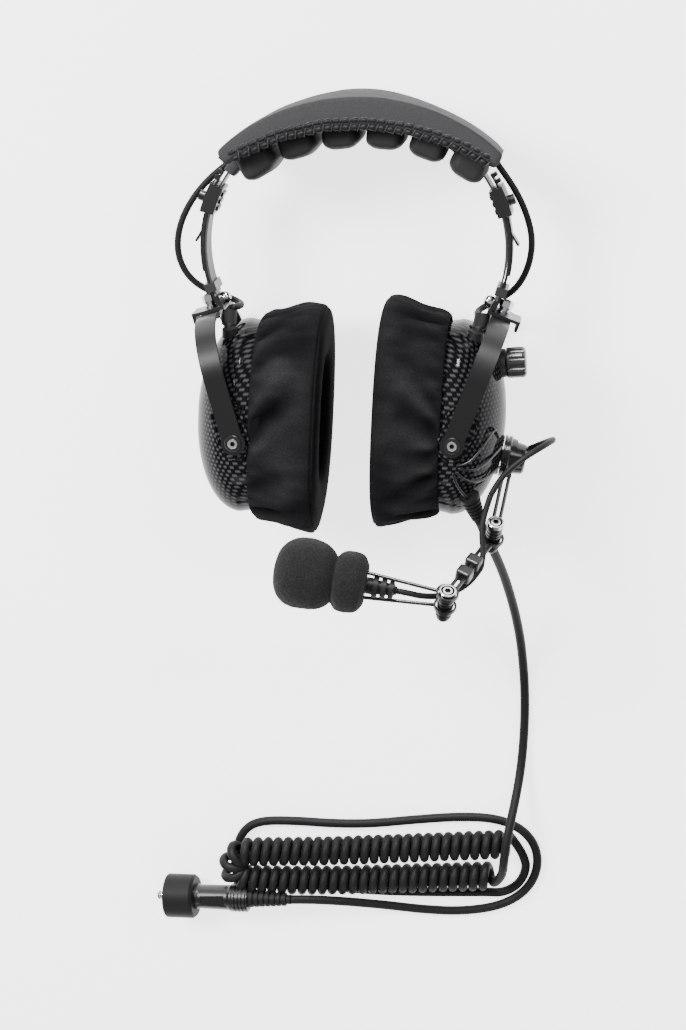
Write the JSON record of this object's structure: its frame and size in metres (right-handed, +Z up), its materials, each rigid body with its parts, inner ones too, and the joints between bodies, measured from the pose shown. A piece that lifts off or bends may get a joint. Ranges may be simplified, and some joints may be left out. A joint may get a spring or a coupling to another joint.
{
  "type": "aviation headset",
  "caption": "Over-ear headset with a sprung padded headband, yoke-hung ear cups, jointed mic boom, volume knob, coiled lead and shrouded plug, lying on its back.",
  "frame": {"origin": "bottom centre of the headset's bounding box, on the table it lies on", "axes": "+X is the wearer's left (the boom side), +Y runs to the top of the headband, +Z is up from the table and the wearer's forward direction"},
  "size_m": [0.2097, 0.4466, 0.1332],
  "materials": {
    "spring_steel": "satin",
    "polished_steel": "polished",
    "black_steel": "semi-gloss black coating",
    "black_plastic": "moulded, fine grain",
    "gloss_composite": "clear-coated woven composite",
    "leather": "satin",
    "foam": "open-cell foam",
    "cloth": "knitted cloth",
    "seal_gel": "soft",
    "cord_rubber": "satin",
    "knob_metal": "black anodised, fluted",
    "speaker_parts": "moulded"
  },
  "bodies": {
    "headband": {"headband_spring": "spring_steel", "headband_cover": "leather", "headband_foam": "foam", "head_pads": "leather", "spring_sleeves": "black_plastic", "left_crossover_cable": "cord_rubber", "right_crossover_cable": "cord_rubber"},
    "left_arm": {"left_slide_arm": "black_steel", "left_slide_clamp": "black_steel", "left_hanger_bracket": "black_steel", "left_hanger_hardware": "polished_steel"},
    "right_arm": {"right_slide_arm": "black_steel", "right_slide_clamp": "black_steel", "right_hanger_bracket": "black_steel", "right_hanger_hardware": "polished_steel"},
    "left_hanger": {"left_yoke": "black_steel"},
    "right_hanger": {"right_yoke": "black_steel"},
    "left_cup": {"left_dome": "gloss_composite", "left_pivot_screws": "polished_steel", "left_baffle": "black_plastic", "left_speaker": "speaker_parts", "left_foam_liner": "foam", "left_ear_seal": "seal_gel", "left_ear_cover": "cloth", "left_cable_boot": "cord_rubber", "volume_bushing": "black_plastic", "boom_socket": "black_plastic", "cord_gland": "cord_rubber", "signal_wires": "cord_rubber", "mic_cable_loop": "cord_rubber", "mic_cable_mid": "cord_rubber", "mic_cable_tip": "cord_rubber", "main_lead": "cord_rubber", "curly_cord": "cord_rubber", "tail_lead": "cord_rubber", "plug_shroud": "cord_rubber", "plug_body": "black_plastic", "plug_contacts": "polished_steel", "plug_relief": "cord_rubber"},
    "right_cup": {"right_dome": "gloss_composite", "right_pivot_screws": "polished_steel", "right_baffle": "black_plastic", "right_speaker": "speaker_parts", "right_foam_liner": "foam", "right_ear_seal": "seal_gel", "right_ear_cover": "cloth", "right_cable_boot": "cord_rubber"},
    "knob": {"volume_knob": "knob_metal"},
    "boom_base": {"boom_hub": "black_steel", "boom_upper_rods": "black_steel", "upper_elbow": "black_steel"},
    "boom_link": {"boom_link_rods": "black_steel", "lower_elbow": "black_steel"},
    "boom_end": {"mic_arm": "black_steel", "mic_capsule": "black_plastic", "mic_windscreen": "foam", "mic_relief": "cord_rubber"}
  },
  "joints": [
    {"name": "left_slide", "type": "hinge", "parent": "headband", "child": "left_arm", "pos_m": [0.00599, 0.04619, 0.0465], "axis": [0, 0, -1], "range_deg": [0, 5.2], "deforming": ["left_crossover_cable"]},
    {"name": "left_swivel", "type": "hinge", "parent": "left_arm", "child": "left_hanger", "pos_m": [0.04555, -0.04181, 0.0465], "axis": [0.3535, 0.9354, 0], "range_deg": [-8, 8], "deforming": ["left_cable_boot"]},
    {"name": "left_tilt", "type": "hinge", "parent": "left_hanger", "child": "left_cup", "pos_m": [0.04555, -0.04181, 0.0465], "axis": [0, 0, 1], "range_deg": [-10, 10], "deforming": ["left_cable_boot"]},
    {"name": "right_slide", "type": "hinge", "parent": "headband", "child": "right_arm", "pos_m": [-0.01501, 0.04619, 0.0465], "axis": [0, 0, 1], "range_deg": [0, 5.2], "deforming": ["right_crossover_cable"]},
    {"name": "right_swivel", "type": "hinge", "parent": "right_arm", "child": "right_hanger", "pos_m": [-0.05968, -0.0431, 0.0465], "axis": [-0.274, 0.9617, 0], "range_deg": [-8, 8], "deforming": ["right_cable_boot"]},
    {"name": "right_tilt", "type": "hinge", "parent": "right_hanger", "child": "right_cup", "pos_m": [-0.05968, -0.0431, 0.0465], "axis": [0, 0, 1], "range_deg": [-10, 10], "deforming": ["right_cable_boot"]},
    {"name": "volume_turn", "type": "hinge", "parent": "left_cup", "child": "knob", "pos_m": [0.0663, -0.01005, 0.0465], "axis": [0.9968, 0.0794, 0], "range_deg": [-140, 140]},
    {"name": "boom_swing", "type": "hinge", "parent": "left_cup", "child": "boom_base", "pos_m": [0.06399, -0.0555, 0.0465], "axis": [0.9832, -0.1828, 0], "range_deg": [-38, 3], "deforming": ["mic_cable_loop", "signal_wires"]},
    {"name": "upper_elbow_bend", "type": "hinge", "parent": "boom_base", "child": "boom_link", "pos_m": [0.06559, -0.08691, 0.0825], "axis": [0.15, 0.857, 0.493], "range_deg": [-6, 20], "deforming": ["mic_cable_mid"]},
    {"name": "lower_elbow_bend", "type": "hinge", "parent": "boom_link", "child": "boom_end", "pos_m": [0.04489, -0.11201, 0.1165], "axis": [0.15, 0.857, 0.493], "range_deg": [-6, 20], "deforming": ["mic_cable_tip"]}
  ]
}
